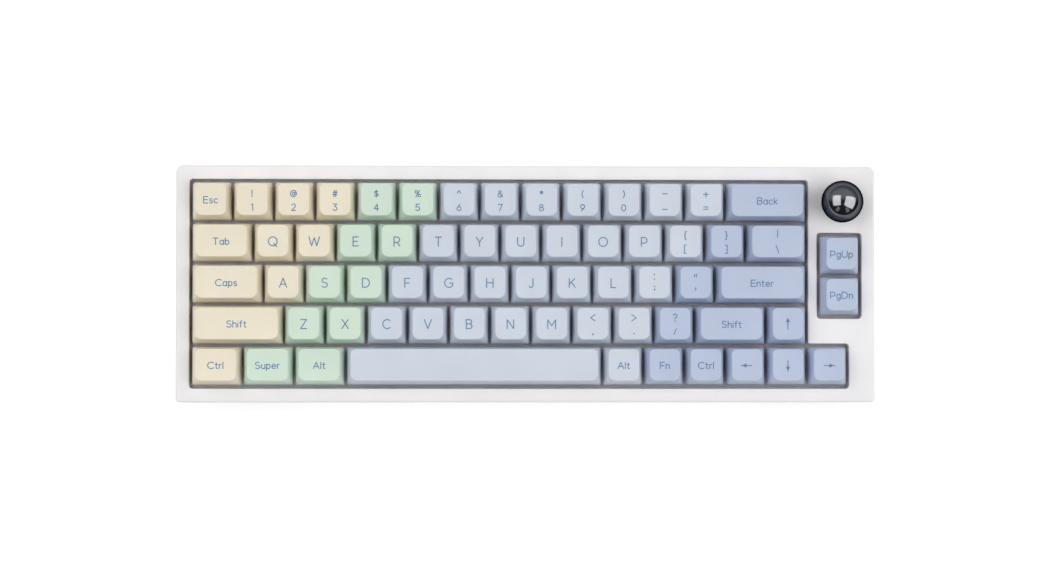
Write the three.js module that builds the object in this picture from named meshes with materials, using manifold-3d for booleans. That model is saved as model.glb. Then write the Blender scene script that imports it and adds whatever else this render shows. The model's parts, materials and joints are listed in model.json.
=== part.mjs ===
// A compact mechanical keyboard: 66 keys, a ball-shaped rotary knob, a two-part wedge case with a
// switch plate and circuit board inside, rubber feet, flip-out feet and a USB-C socket.
//
// Units are millimetres. The model stands on z = 0, centred on x = 0 and y = 0; +Y is the rear edge
// and +X is the right-hand side. Everything that follows the typing angle is built in the deck frame:
// its origin lies on the switch plate's top face, in the middle of the case, and its z is the
// direction that the keys travel in.
import * as THREE from "three";
import { mergeVertices } from "three/addons/utils/BufferGeometryUtils.js";
import Module from "manifold-3d";

const wasm = await Module();
wasm.setup();

// ---------------------------------------------------------------- driving dimensions
const PITCH = 19.05; // one key unit
const TYPING_ANGLE = THREE.MathUtils.degToRad(6);
const FIT_GAP = 0.3; // between pieces that touch or rest on each other
const PAST = 1; // how far a cutting solid runs past the face that it cuts
const DEEP = -40; // below everything, in the deck frame
const TALL = 80; // taller than the whole case
const CASE = {
  width: 325,
  depth: 110, // along the sloping deck
  frontHeight: 20.5, // from the desk to the front edge of the deck
  bottom: 2, // the underside's height above the desk
  floor: 2.4,
  wall: 2.2,
  slab: 2.5, // thickness of the deck's top skin
  rim: 8, // the deck's top face above the switch plate
  seam: -3.5, // where the two halves meet
  rearRadius: 3.2,
  frontRadius: 2,
  sideMargin: 6.2, // from the case's side to the key opening
  strip: 4.1, // between the main opening and the page keys' opening
  leastRadius: 0.8, // of a corner that an inset has drawn in
};
const OPENING = {
  clearance: 0.93,
  radius: 1.6,
  inwardRadius: 0.6, // of the L's one inward corner
  leastRadius: 0.3,
  collar: 1.5,
  collarBottom: 1,
};
const LIP = { outer: 1.25, inner: 2.1, height: 1.6, root: 0.5 };
const CAP = {
  gapX: 0.85, // between neighbouring skirts
  gapY: 0.95,
  corner: 1.1,
  skirt: 6.3, // the skirt's lower edge above the plate, at rest
  wall: 1.4,
  roof: 1.7,
  draft: { side: 1.95, front: 2.1, rear: 0.95 }, // how far each wall leans in
  earlyDraft: 0.4, // the share of the draft reached at half height: less than half hollows the walls
  web: { thickness: 1, reach: 3, width: 6 }, // the bridge between caps that share a node
};
// Each row's cap height at its centre, and the tilt of its top: positive faces the typist.
const SCULPT = [
  { height: 10.2, tilt: 5 },
  { height: 9.5, tilt: 2.5 },
  { height: 9.2, tilt: 0 },
  { height: 9.4, tilt: -3 },
  { height: 9.4, tilt: -3 },
];
const SWITCH = {
  body: 13.9,
  flare: 15,
  crown: 10.8,
  top: 6.3,
  bottom: -5,
  well: 6.4,
  wellBottom: -4.2,
  stem: 4.6,
  stemBottom: 1,
};
const STABILISER = {
  width: 6.6,
  depth: 12,
  top: 5,
  well: 4.6,
  wellBottom: 0.4,
  stem: 3.2,
  stemBottom: 4.7,
  offset: 11.94, // from the middle of a wide key
  spaceOffset: 50,
};
const PLATE = { thickness: 1.5, overhang: 1.3 };
const BOARD = { top: -5.2, thickness: 1.6, inset: 0.4 };
const STANDOFF = { columns: [-110, 0, 110], rows: [-19, 19], radius: 2.2 };
const CHIP = { size: 7, thickness: 0.9, fromUsb: 32, y: 30 };
const PAGE_SPLIT = 2.29; // rows from the rear edge of the keys to the line between the two page keys
const SCREW = {
  boss: 2.4,
  hole: 1.15,
  pilot: 0.9,
  head: 2.1,
  headDepth: 1.6,
  edge: 3.2, // from the case's edge to each screw
  sideY: 30,
  endX: [-65, 75],
};
const KNOB = {
  radius: 9.8,
  flat: 9, // from the ball's centre to its flat underside
  lift: 1.2, // the underside's height above the deck
  shaft: 3,
  shaftTop: 20,
  bore: 21,
  holeGap: 0.8, // between the shaft and the deck
  rings: 11,
  sides: 24,
};
const ENCODER = {
  width: 12,
  top: -0.5,
  bushing: 4.2,
  bushingTop: 5,
  rotor: 4.5,
  rotorBottom: -3.2,
  rotorTop: -1.6,
  square: 4.4,
  shaftBottom: -3.6,
  cavityBottom: -4.2,
  cavityTop: -1.2,
  plateHole: 14,
};
const USB = {
  x: -105,
  width: 8.9,
  height: 3.2,
  corner: 1.2,
  length: 7.4,
  skin: 0.35,
  back: 0.9,
  recess: 0.4,
  underBoard: 0.2,
  around: 0.5, // between the socket and the case
  tongue: { width: 6.6, thickness: 0.7, short: 1.6 },
};
const PAD = { length: 30, width: 8, height: 2.6, recess: 0.9, x: 125, inset: 8, behindFront: 1.5 };
const FLIP = {
  x: 125,
  width: 30,
  reach: 14, // from the hinge line to the toe
  barrel: 1.7,
  axisZ: 4.2,
  axisInset: 16, // the hinge line, forward of the rear edge
  pin: 1.1,
  pinLength: 1.6,
  gap: 0.6,
  toeGap: 0.5,
  toe: { length: 1, top: 0.1, nose: 0.6 },
  pocketTop: 6.6,
  pocketWall: 2.2,
  pocketRoof: 1.6,
};

// ---------------------------------------------------------------- where the deck frame stands
const sin = Math.sin(TYPING_ANGLE);
const cos = Math.cos(TYPING_ANGLE);
const halfDepth = CASE.depth / 2;
const deckZ = CASE.frontHeight + halfDepth * sin - CASE.rim * cos;
const rearFoot = (CASE.bottom - deckZ - halfDepth * sin) / cos; // deck height of the rear bottom edge
const frontReach = halfDepth * cos + CASE.rim * sin;
const rearReach = halfDepth * cos - rearFoot * sin;
const rearEdge = (frontReach + rearReach) / 2;
const deckY = (frontReach - rearReach) / 2;
const deck = new THREE.Group();
deck.rotation.x = TYPING_ANGLE;
deck.position.set(0, deckY, deckZ);
deck.updateMatrix();
const toDeck = deck.matrix.clone().invert();
const model = new THREE.Group();
model.add(deck);

// ---------------------------------------------------------------- the key layout
const CREAM = 0xeee2c8;
const MINT = 0xcfe5d3;
const PALE = 0xccd4e4;
const BLUE = 0xb4c1de;
const single = (letters, colour) => letters.split("").map((k) => ({ key: k, units: 1, colour }));
const ROWS = [
  [
    { key: "esc", units: 1, colour: CREAM },
    ...single("123", CREAM),
    ...single("45", MINT),
    ...single("67890", PALE),
    { key: "minus", units: 1, colour: PALE },
    { key: "equals", units: 1, colour: PALE },
    { key: "back", units: 2, colour: BLUE },
  ],
  [
    { key: "tab", units: 1.5, colour: CREAM },
    ...single("qw", CREAM),
    ...single("er", MINT),
    ...single("tyuiop", PALE),
    { key: "left_bracket", units: 1, colour: PALE },
    { key: "right_bracket", units: 1, colour: BLUE },
    { key: "backslash", units: 1.5, colour: BLUE },
  ],
  [
    { key: "caps", units: 1.75, colour: CREAM },
    ...single("a", CREAM),
    ...single("sd", MINT),
    ...single("fghjkl", PALE),
    { key: "semicolon", units: 1, colour: PALE },
    { key: "quote", units: 1, colour: BLUE },
    { key: "enter", units: 2.25, colour: BLUE },
  ],
  [
    { key: "shift_left", units: 2.25, colour: CREAM },
    ...single("zx", MINT),
    ...single("cvbnm", PALE),
    { key: "comma", units: 1, colour: PALE },
    { key: "period", units: 1, colour: PALE },
    { key: "slash", units: 1, colour: BLUE },
    { key: "shift_right", units: 1.75, colour: BLUE },
    { key: "arrow_up", units: 1, colour: BLUE },
  ],
  [
    { key: "ctrl_left", units: 1.25, colour: CREAM },
    { key: "super", units: 1.25, colour: MINT },
    { key: "alt_left", units: 1.25, colour: MINT },
    { key: "space", units: 6.25, colour: PALE },
    { key: "alt_right", units: 1, colour: PALE },
    { key: "fn", units: 1, colour: BLUE },
    { key: "ctrl_right", units: 1, colour: BLUE },
    { key: "arrow_left", units: 1, colour: BLUE },
    { key: "arrow_down", units: 1, colour: BLUE },
    { key: "arrow_right", units: 1, colour: BLUE },
  ],
];
// Neighbours that share one node, so that the whole keyboard stays within sixty nodes.
const SHARED = {
  keys_number_row: ["1", "2", "3", "4", "5", "6", "7", "8", "9", "0", "minus", "equals"],
  keys_brackets: ["left_bracket", "right_bracket", "backslash"],
  keys_semicolon_quote: ["semicolon", "quote"],
  keys_comma_to_slash: ["comma", "period", "slash"],
  keys_left_modifiers: ["ctrl_left", "super", "alt_left"],
  keys_right_modifiers: ["alt_right", "fn", "ctrl_right"],
  keys_page: ["page_up", "page_down"],
};

const gridLeft = -CASE.width / 2 + CASE.sideMargin + OPENING.clearance;
const gridRear = (ROWS.length * PITCH) / 2;
const mainUnits = 15;
const lastRowUnits = 16;
const columnX =
  gridLeft + (mainUnits + 0.5) * PITCH + 2 * OPENING.clearance + CASE.strip; // page keys and knob
const pageSplit = gridRear - PAGE_SPLIT * PITCH;
const knobY = gridRear - 0.5 * PITCH;

const keys = ROWS.flatMap((row, r) => {
  let x = gridLeft;
  return row.map((k) => {
    const width = k.units * PITCH;
    x += width;
    return { ...k, row: r, width, x: x - width / 2, y: gridRear - (r + 0.5) * PITCH };
  });
});
keys.push(
  { key: "page_up", units: 1, colour: BLUE, row: 1, width: PITCH, x: columnX, y: pageSplit + PITCH / 2 },
  { key: "page_down", units: 1, colour: BLUE, row: 2, width: PITCH, x: columnX, y: pageSplit - PITCH / 2 },
);

// ---------------------------------------------------------------- shapes and solids
// A closed outline whose corners are rounded, one radius for all or one for each corner.
function rounded(points, radius, Kind = THREE.Shape) {
  const outline = new Kind();
  points.forEach((p, i) => {
    const corner = new THREE.Vector2(...p);
    const before = new THREE.Vector2(...points.at(i - 1)).sub(corner);
    const after = new THREE.Vector2(...points[(i + 1) % points.length]).sub(corner);
    const r = Array.isArray(radius) ? radius[i] : radius;
    const start = before.setLength(r).add(corner);
    const end = after.setLength(r).add(corner);
    if (i === 0) outline.moveTo(start.x, start.y);
    else outline.lineTo(start.x, start.y);
    outline.quadraticCurveTo(corner.x, corner.y, end.x, end.y);
  });
  outline.closePath();
  return outline;
}

const rectangle = (x0, y0, x1, y1) => [
  [x0, y0],
  [x1, y0],
  [x1, y1],
  [x0, y1],
];
const centred = (width, depth) => rectangle(-width / 2, -depth / 2, width / 2, depth / 2);

// The case's outline, moved inwards by an inset.
function caseOutline(inset, Kind) {
  const front = Math.max(CASE.frontRadius - inset, CASE.leastRadius);
  const rear = Math.max(CASE.rearRadius - inset, CASE.leastRadius);
  const sides = centred(CASE.width - 2 * inset, CASE.depth - 2 * inset);
  return rounded(sides, [front, front, rear, rear], Kind);
}

// The two key openings, moved outwards by a margin: an L for the main block, and the page keys' slot.
function keyOpenings(margin, Kind) {
  const m = OPENING.clearance + margin;
  const left = gridLeft - m;
  const right = gridLeft + mainUnits * PITCH + m;
  const lastRight = gridLeft + lastRowUnits * PITCH + m;
  const step = gridRear - 4 * PITCH + m;
  const reach = gridRear + m;
  const main = [
    [left, -reach],
    [lastRight, -reach],
    [lastRight, step],
    [right, step],
    [right, reach],
    [left, reach],
  ];
  const half = PITCH / 2 + m;
  const page = rectangle(columnX - half, pageSplit - PITCH - m, columnX + half, pageSplit + PITCH + m);
  const outer = OPENING.radius + margin;
  const inward = Math.max(OPENING.inwardRadius - margin, OPENING.leastRadius);
  const corners = [outer, outer, outer, inward, outer, outer];
  return [rounded(main, corners, Kind), rounded(page, outer, Kind)];
}

function solid(geometry) {
  const plain = geometry.clone();
  plain.deleteAttribute("normal");
  plain.deleteAttribute("uv");
  const merged = mergeVertices(plain, 1e-4);
  const vertProperties = merged.attributes.position.array;
  const triVerts = new Uint32Array(merged.index.array);
  return new wasm.Manifold(new wasm.Mesh({ numProp: 3, vertProperties, triVerts }));
}

const join = (solids) => solids.reduce((a, b) => a.add(b));

function prism(shape, bottom, top, curveSegments = 3) {
  const options = { depth: top - bottom, bevelEnabled: false, curveSegments };
  return solid(new THREE.ExtrudeGeometry(shape, options).translate(0, 0, bottom));
}

function block(width, depth, bottom, top, x = 0, y = 0) {
  const box = new THREE.BoxGeometry(width, depth, top - bottom);
  return solid(box.translate(x, y, (bottom + top) / 2));
}

function round(radius, bottom, top, x = 0, y = 0, sides = 8, topRadius = radius) {
  const cylinder = new THREE.CylinderGeometry(topRadius, radius, top - bottom, sides);
  cylinder.rotateX(Math.PI / 2).rotateZ(Math.PI / sides);
  return solid(cylinder.translate(x, y, (bottom + top) / 2));
}

// A square frustum: a four-sided cylinder, whose corners lie on its radius.
const frustum = (base, crown, bottom, top, x, y) =>
  round(base * Math.SQRT1_2, bottom, top, x, y, 4, crown * Math.SQRT1_2);

// A solid given in the standing frame, carried into the deck frame.
const fromDesk = (geometry) => solid(geometry.applyMatrix4(toDeck));
const deskBlock = (width, depth, bottom, top, x = 0, y = 0) =>
  fromDesk(new THREE.BoxGeometry(width, depth, top - bottom).translate(x, y, (bottom + top) / 2));
const deskPrism = (shape, bottom, top, x, y, curveSegments = 3) => {
  const options = { depth: top - bottom, bevelEnabled: false, curveSegments };
  return fromDesk(new THREE.ExtrudeGeometry(shape, options).translate(x, y, bottom));
};

function addPiece(name, shape, { colour, roughness = 0.6, metalness = 0, parent = deck, at = [0, 0, 0] }) {
  let geometry = shape;
  if (!shape.isBufferGeometry) {
    const { vertProperties, triVerts } = shape.getMesh();
    geometry = new THREE.BufferGeometry();
    geometry.setAttribute("position", new THREE.BufferAttribute(vertProperties, 3));
    geometry.setIndex(new THREE.BufferAttribute(triVerts, 1));
    geometry.computeVertexNormals();
  }
  const mesh = new THREE.Mesh(
    geometry,
    new THREE.MeshStandardMaterial({ color: colour, roughness, metalness, flatShading: true }),
  );
  mesh.name = name;
  mesh.position.set(...at);
  parent.add(mesh);
}

// ---------------------------------------------------------------- screws and stabilisers
const sideX = CASE.width / 2 - SCREW.edge;
const endY = halfDepth - SCREW.edge;
const screwPlaces = [
  ...[-sideX, sideX].flatMap((x) => [-SCREW.sideY, SCREW.sideY].map((y) => [x, y])),
  ...SCREW.endX.flatMap((x) => [-endY, endY].map((y) => [x, y])),
];
const screwNotches = join(
  screwPlaces.map(([x, y]) => round(SCREW.boss + 2 * FIT_GAP, DEEP, CASE.rim, x, y)),
);

function stabiliserOffset(units) {
  if (units < 2) return 0;
  return units > 6 ? STABILISER.spaceOffset : STABILISER.offset;
}

// ---------------------------------------------------------------- case halves
function upperCase() {
  const shell = caseOutline(0);
  shell.holes = [...keyOpenings(0, THREE.Path)];
  const hollow = caseOutline(CASE.wall);
  hollow.holes = [...keyOpenings(OPENING.collar, THREE.Path)];
  const underSlab = CASE.rim - CASE.slab;
  const lip = caseOutline(LIP.outer);
  lip.holes = [caseOutline(LIP.inner, THREE.Path)];
  const posts = join(screwPlaces.map(([x, y]) => round(SCREW.boss, CASE.seam, underSlab + PAST, x, y)));
  const pilots = join(screwPlaces.map(([x, y]) => round(SCREW.pilot, CASE.seam - PAST, underSlab, x, y, 6)));
  return prism(shell, CASE.seam, CASE.rim)
    .subtract(prism(hollow, CASE.seam - PAST, underSlab))
    .subtract(prism(caseOutline(CASE.wall), CASE.seam - PAST, OPENING.collarBottom))
    .add(prism(lip, CASE.seam - LIP.height, CASE.seam + LIP.root))
    .add(posts)
    .subtract(pilots)
    .subtract(round(KNOB.shaft + KNOB.holeGap, underSlab - PAST, CASE.rim + PAST, columnX, knobY, 16));
}

function flipPocket(side) {
  const length = FLIP.reach + FLIP.barrel + FLIP.gap + FLIP.toeGap + FLIP.gap;
  const y = rearEdge - FLIP.axisInset + FLIP.barrel + FLIP.gap - length / 2;
  const width = FLIP.width + 2 * FLIP.gap;
  const x = side * FLIP.x;
  const wall = 2 * FLIP.pocketWall;
  const holes = new THREE.CylinderGeometry(
    FLIP.pin + FIT_GAP,
    FLIP.pin + FIT_GAP,
    width + 2 * (FLIP.pinLength + FIT_GAP - FLIP.gap),
    8,
  );
  holes.rotateZ(Math.PI / 2).translate(x, rearEdge - FLIP.axisInset, FLIP.axisZ);
  return {
    housing: deskBlock(width + wall, length + wall, CASE.bottom, FLIP.pocketTop + FLIP.pocketRoof, x, y),
    pocket: deskBlock(width, length, CASE.bottom - PAST, FLIP.pocketTop, x, y).add(fromDesk(holes)),
  };
}

const padShape = (grow) =>
  rounded(centred(PAD.length + 2 * grow, PAD.width + 2 * grow), PAD.width / 2 + grow - 0.1);
const padFront = -rearEdge + PAD.inset + PAD.behindFront;
const padPlaces = [
  ["front_left", -PAD.x, padFront],
  ["front_right", PAD.x, padFront],
  ["rear_left", -PAD.x, rearEdge - PAD.inset],
  ["rear_right", PAD.x, rearEdge - PAD.inset],
];

function lowerCase() {
  const top = CASE.seam - FIT_GAP;
  const above = (height) => deskBlock(2 * CASE.width, 3 * CASE.depth, height, height + TALL);
  const body = prism(caseOutline(0), DEEP, top).intersect(above(CASE.bottom));
  const hollow = prism(caseOutline(CASE.wall), DEEP, top + PAST).intersect(above(CASE.bottom + CASE.floor));
  const rabbet = prism(caseOutline(LIP.outer - FIT_GAP), top - LIP.height - FIT_GAP, top + PAST);
  const bosses = join(screwPlaces.map(([x, y]) => round(SCREW.boss, DEEP, top, x, y)));
  const holes = join(screwPlaces.map(([x, y]) => round(SCREW.hole, DEEP, top + PAST, x, y, 6)));
  const heads = join(
    screwPlaces.map(([x, y]) =>
      round(SCREW.head, DEEP, 0, x, y).subtract(above(CASE.bottom + SCREW.headDepth)),
    ),
  );
  const boardUnder = BOARD.top - BOARD.thickness;
  const standoffs = join(
    STANDOFF.columns.flatMap((x) =>
      STANDOFF.rows.map((y) => round(STANDOFF.radius, DEEP, boardUnder - FIT_GAP, x, y)),
    ),
  );
  const pockets = [flipPocket(-1), flipPocket(1)];
  const padRecesses = join(
    padPlaces.map(([, x, y]) =>
      deskPrism(padShape(FIT_GAP), CASE.bottom - PAST, CASE.bottom + PAD.recess, x, y),
    ),
  );
  const usbTop = boardUnder - USB.underBoard;
  const usbCut = block(
    USB.width + 2 * USB.around,
    2 * CASE.wall + 2 * PAST,
    usbTop - USB.height - USB.around,
    usbTop + USB.around,
    USB.x,
    halfDepth,
  );
  return body
    .subtract(hollow)
    .add(join([bosses, standoffs]).intersect(body))
    .subtract(rabbet)
    .add(join(pockets.map((p) => p.housing)).intersect(body))
    .subtract(join([holes, heads, padRecesses, usbCut, ...pockets.map((p) => p.pocket)]));
}

// ---------------------------------------------------------------- plate and circuit board
function switchPlate() {
  const inset = CASE.sideMargin - PLATE.overhang;
  const sheet = prism(caseOutline(inset), -PLATE.thickness, 0);
  const housings = keys.map(({ x, y }) =>
    block(SWITCH.body, SWITCH.body, SWITCH.bottom, 0, x, y).add(
      frustum(SWITCH.flare, SWITCH.crown, -PLATE.thickness / 2, SWITCH.top, x, y),
    ),
  );
  const wells = keys.map(({ x, y }) =>
    block(SWITCH.well, SWITCH.well, SWITCH.wellBottom, SWITCH.top + PAST, x, y),
  );
  const ends = keys.flatMap(({ units, x, y }) => {
    const offset = stabiliserOffset(units);
    return offset ? [x - offset, x + offset].map((place) => [place, y]) : [];
  });
  const cups = ends.map(([x, y]) =>
    block(STABILISER.width, STABILISER.depth, -PLATE.thickness / 2, STABILISER.top, x, y),
  );
  const cupWells = ends.map(([x, y]) =>
    block(STABILISER.well, STABILISER.well, STABILISER.wellBottom, STABILISER.top + PAST, x, y),
  );
  const encoderHole = block(ENCODER.plateHole, ENCODER.plateHole, DEEP, PAST, columnX, knobY);
  return join([sheet, ...housings, ...cups])
    .subtract(join([...wells, ...cupWells, encoderHole]))
    .subtract(screwNotches);
}

function circuitBoard() {
  const inset = CASE.sideMargin - PLATE.overhang + BOARD.inset;
  const under = BOARD.top - BOARD.thickness;
  const chip = block(CHIP.size, CHIP.size, under - CHIP.thickness, BOARD.top, USB.x + CHIP.fromUsb, CHIP.y);
  return prism(caseOutline(inset), under, BOARD.top)
    .subtract(screwNotches)
    .add(chip);
}

function usbSocket() {
  const { width, height, corner, skin, back, length, tongue } = USB;
  const shape = rounded(centred(width, height), corner);
  const mouth = rounded(centred(width - 2 * skin, height - 2 * skin), corner - skin);
  return prism(shape, 0, length, 2)
    .subtract(prism(mouth, back, length + PAST, 2))
    .add(block(tongue.width, tongue.thickness, back / 2, length - tongue.short));
}

// ---------------------------------------------------------------- keys
// A block whose walls lean in towards the top, and whose top tilts towards or away from the typist.
function taperedBlock({ outline, steps, bottom, height, tilt, draft }) {
  const options = { depth: 1, steps, bevelEnabled: false, curveSegments: 1 };
  const geometry = new THREE.ExtrudeGeometry(outline, options);
  const slope = Math.tan(THREE.MathUtils.degToRad(tilt));
  const position = geometry.attributes.position;
  for (let i = 0; i < position.count; i++) {
    const [x, y, t] = [position.getX(i), position.getY(i), position.getZ(i)];
    const lean = t > 0 && t < 1 ? CAP.earlyDraft : t;
    const yLean = (y > 0 ? draft.rear : -draft.front) * lean;
    const top = height + y * slope;
    position.setXYZ(i, x - Math.sign(x) * draft.side * lean, y - yLean, bottom + t * top);
  }
  return solid(geometry);
}

// A hollow cap over the stem that runs in the switch, and over the stabiliser's two stems if it is wide.
function keySolid({ width, units, row }) {
  const outerWidth = width - CAP.gapX;
  const outerDepth = PITCH - CAP.gapY;
  const { height, tilt } = SCULPT[row];
  const cap = taperedBlock({
    outline: rounded(centred(outerWidth, outerDepth), CAP.corner),
    steps: 2,
    bottom: CAP.skirt,
    height,
    tilt,
    draft: CAP.draft,
  });
  const inside = centred(outerWidth - 2 * CAP.wall, outerDepth - 2 * CAP.wall);
  const hollow = taperedBlock({
    outline: new THREE.Shape(inside.map((p) => new THREE.Vector2(...p))),
    steps: 1,
    bottom: CAP.skirt - PAST,
    height: height - CAP.roof + PAST,
    tilt,
    draft: CAP.draft,
  });
  const roof = CAP.skirt + height - CAP.roof / 2;
  const stem = block(SWITCH.stem, SWITCH.stem, SWITCH.stemBottom, roof);
  const offset = stabiliserOffset(units);
  const sideStems = (offset ? [-offset, offset] : []).map((x) =>
    block(STABILISER.stem, STABILISER.stem, STABILISER.stemBottom, roof, x),
  );
  return cap.subtract(hollow).add(join([stem, ...sideStems]));
}

function addKeys() {
  const shared = new Set(Object.values(SHARED).flat());
  for (const k of keys.filter(({ key }) => !shared.has(key))) {
    addPiece(`key_${k.key}`, keySolid(k), { colour: k.colour, at: [k.x, k.y, 0] });
  }
  for (const [name, members] of Object.entries(SHARED)) {
    const group = members.map((key) => keys.find((k) => k.key === key));
    const [first] = group;
    const caps = group.map((k) => keySolid(k).translate([k.x - first.x, k.y - first.y, 0]));
    const webs = group.slice(1).map((k, i) => {
      const before = group[i];
      const across = k.y === before.y;
      const x = across ? k.x - k.width / 2 : k.x;
      const y = across ? k.y : k.y + PITCH / 2;
      const { reach, width, thickness } = CAP.web;
      const size = across ? [reach, width] : [width, reach];
      return block(...size, CAP.skirt, CAP.skirt + thickness, x - first.x, y - first.y);
    });
    addPiece(name, join([...caps, ...webs]), { colour: first.colour, at: [first.x, first.y, 0] });
  }
}

// ---------------------------------------------------------------- knob and encoder
function knob() {
  const { radius, flat, shaft, bore, lift, rings, sides } = KNOB;
  const bottomAngle = Math.acos(flat / radius);
  const centre = CASE.rim + lift + flat;
  const arc = Array.from({ length: rings + 1 }, (_, i) => {
    const angle = (i / rings) * (Math.PI - bottomAngle);
    return new THREE.Vector2(radius * Math.sin(angle), centre + radius * Math.cos(angle));
  });
  arc[0].x = 0;
  const well = shaft + FIT_GAP;
  const profile = [
    ...arc,
    new THREE.Vector2(well, centre - flat),
    new THREE.Vector2(well, bore),
    new THREE.Vector2(0, bore),
  ].reverse();
  return new THREE.LatheGeometry(profile, sides).rotateX(Math.PI / 2);
}

function encoderBody() {
  const { width, top, bushing, bushingTop, rotor, cavityBottom, cavityTop } = ENCODER;
  return block(width, width, BOARD.top + FIT_GAP, top)
    .add(round(bushing, cavityTop, bushingTop, 0, 0, 16))
    .subtract(round(rotor + FIT_GAP, cavityBottom, cavityTop, 0, 0, 16))
    .subtract(round(KNOB.shaft + FIT_GAP, cavityBottom, bushingTop + PAST, 0, 0, 16));
}

function encoderRotor() {
  const { rotor, rotorBottom, rotorTop, square } = ENCODER;
  const hole = block(square + 2 * FIT_GAP, square + 2 * FIT_GAP, DEEP, PAST);
  return round(rotor, rotorBottom, rotorTop, 0, 0, 16).subtract(hole);
}

function encoderShaft() {
  const { square, shaftBottom, cavityTop } = ENCODER;
  const shoulder = cavityTop + FIT_GAP;
  return round(KNOB.shaft, shoulder, KNOB.shaftTop, 0, 0, 16).add(
    block(square, square, shaftBottom, shoulder + PAST),
  );
}

// ---------------------------------------------------------------- feet
function flipFoot() {
  const { barrel, reach, width, pin, pinLength, toe } = FLIP;
  const side = new THREE.Shape();
  side.absarc(0, 0, barrel, -Math.PI / 2, Math.PI / 2);
  side.lineTo(-reach + toe.length, barrel - toe.nose);
  side.lineTo(-reach, toe.top);
  side.lineTo(-reach, -barrel + toe.nose);
  side.lineTo(-reach + toe.nose, -barrel);
  side.closePath();
  const options = { depth: width, bevelEnabled: false, curveSegments: 6 };
  // The profile's x is the foot's y and its y is the foot's z; the extrusion runs along x.
  const leg = new THREE.ExtrudeGeometry(side, options).translate(0, 0, -width / 2);
  leg.rotateX(Math.PI / 2).rotateZ(Math.PI / 2);
  const pins = new THREE.CylinderGeometry(pin, pin, width + 2 * pinLength, 8).rotateZ(Math.PI / 2);
  return solid(leg).add(solid(pins));
}

// ---------------------------------------------------------------- the assembly
const WHITE = { colour: 0xf1eff0, roughness: 0.5 };
addPiece("upper_case", upperCase(), WHITE);
addPiece("lower_case", lowerCase(), WHITE);
addPiece("switch_plate", switchPlate(), { colour: 0xe4e4e6, roughness: 0.5 });
addPiece("circuit_board", circuitBoard(), { colour: 0x1d2b24, roughness: 0.4 });

const usb = new THREE.Group();
usb.rotation.x = -Math.PI / 2;
usb.position.set(
  USB.x,
  halfDepth - USB.recess - USB.length,
  BOARD.top - BOARD.thickness - USB.underBoard - USB.height / 2,
);
deck.add(usb);
addPiece("usb_c_socket", usbSocket(), { colour: 0xb9bcc0, roughness: 0.3, metalness: 1, parent: usb });

addKeys();

const encoder = new THREE.Group();
encoder.position.set(columnX, knobY, 0);
deck.add(encoder);
const METAL = { colour: 0xa8abb0, roughness: 0.35, metalness: 1, parent: encoder };
addPiece("encoder_body", encoderBody(), METAL);
addPiece("encoder_rotor", encoderRotor(), { colour: 0x2b2b2e, parent: encoder });
addPiece("encoder_shaft", encoderShaft(), METAL);
addPiece("knob", knob(), { colour: 0x3c3f45, roughness: 0.12, metalness: 1, parent: encoder });

for (const [name, side] of [
  ["flip_foot_left", -1],
  ["flip_foot_right", 1],
]) {
  const at = [side * FLIP.x, rearEdge - FLIP.axisInset, FLIP.axisZ];
  addPiece(name, flipFoot(), { ...WHITE, parent: model, at });
}
for (const [name, x, y] of padPlaces) {
  const options = { depth: PAD.height, bevelEnabled: false, curveSegments: 3 };
  const pad = new THREE.ExtrudeGeometry(padShape(0), options);
  addPiece(`rubber_foot_${name}`, pad, { colour: 0x2a2a2c, roughness: 0.9, parent: model, at: [x, y, 0] });
}

export default model;
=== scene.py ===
"""A compact mechanical keyboard on a pale desk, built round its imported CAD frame.

Everything is in metres, in the frame's own axes. Pieces that follow the typing angle are made in the deck
frame, whose z is the way the keys travel and whose z = 0 is the top of the switch plate.
"""
import json
import math

import bmesh
import bpy
from mathutils import Matrix, Vector


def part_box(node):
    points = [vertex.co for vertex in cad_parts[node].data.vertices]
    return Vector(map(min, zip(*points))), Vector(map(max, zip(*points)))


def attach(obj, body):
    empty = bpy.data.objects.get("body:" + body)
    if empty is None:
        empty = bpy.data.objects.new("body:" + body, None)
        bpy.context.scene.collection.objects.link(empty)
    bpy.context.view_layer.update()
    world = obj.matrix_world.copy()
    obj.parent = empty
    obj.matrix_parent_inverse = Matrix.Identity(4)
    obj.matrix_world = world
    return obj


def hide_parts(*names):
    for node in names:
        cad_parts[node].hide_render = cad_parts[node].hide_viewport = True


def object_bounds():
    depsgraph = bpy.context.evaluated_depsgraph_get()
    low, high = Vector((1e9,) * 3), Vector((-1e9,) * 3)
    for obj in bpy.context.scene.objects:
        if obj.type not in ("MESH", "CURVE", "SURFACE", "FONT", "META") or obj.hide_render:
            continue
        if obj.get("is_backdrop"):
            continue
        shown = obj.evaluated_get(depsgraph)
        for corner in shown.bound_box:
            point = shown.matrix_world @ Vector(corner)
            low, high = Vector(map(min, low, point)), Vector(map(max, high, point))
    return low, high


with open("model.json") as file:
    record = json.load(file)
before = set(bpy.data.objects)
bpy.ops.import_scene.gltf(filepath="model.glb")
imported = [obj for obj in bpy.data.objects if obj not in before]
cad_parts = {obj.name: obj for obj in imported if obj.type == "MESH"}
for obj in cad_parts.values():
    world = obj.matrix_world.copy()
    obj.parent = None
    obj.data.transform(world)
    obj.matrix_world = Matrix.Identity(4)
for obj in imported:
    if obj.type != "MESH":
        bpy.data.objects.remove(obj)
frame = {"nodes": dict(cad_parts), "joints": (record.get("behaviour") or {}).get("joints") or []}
cad_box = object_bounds()
MM = 0.001

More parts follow.
